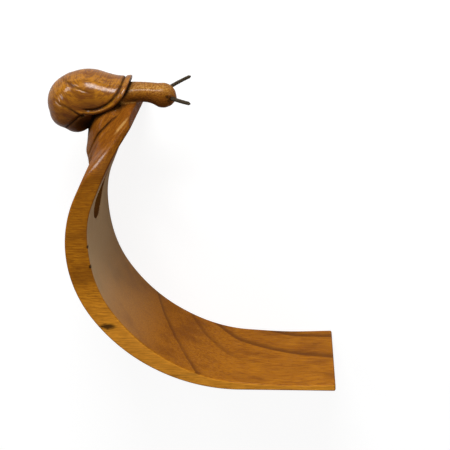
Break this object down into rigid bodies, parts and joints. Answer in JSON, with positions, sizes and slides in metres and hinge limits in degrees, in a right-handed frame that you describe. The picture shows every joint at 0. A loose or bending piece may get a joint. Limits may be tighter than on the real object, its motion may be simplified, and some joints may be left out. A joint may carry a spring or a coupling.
{
  "type": "balancing wine bottle holder",
  "caption": "Curved wooden plank with a neck hole and a carved snail on top, which balances a wine bottle lying in the air.",
  "frame": {"origin": "on the floor, under the middle of the whole object's box as it lies on its far side face", "axes": "+X from the heel towards the toe of the foot, +Y from the foot's sole up to the snail, +Z through the plank's width, up from the floor"},
  "size_m": [0.19, 0.2176, 0.08],
  "materials": {
    "holder_wood": "golden brown, stained and varnished, glossy",
    "tentacle_wood": "near black, satin"
  },
  "bodies": {
    "root": {"carved_holder": "holder_wood", "right_tentacle": "tentacle_wood", "left_tentacle": "tentacle_wood"}
  },
  "joints": []
}
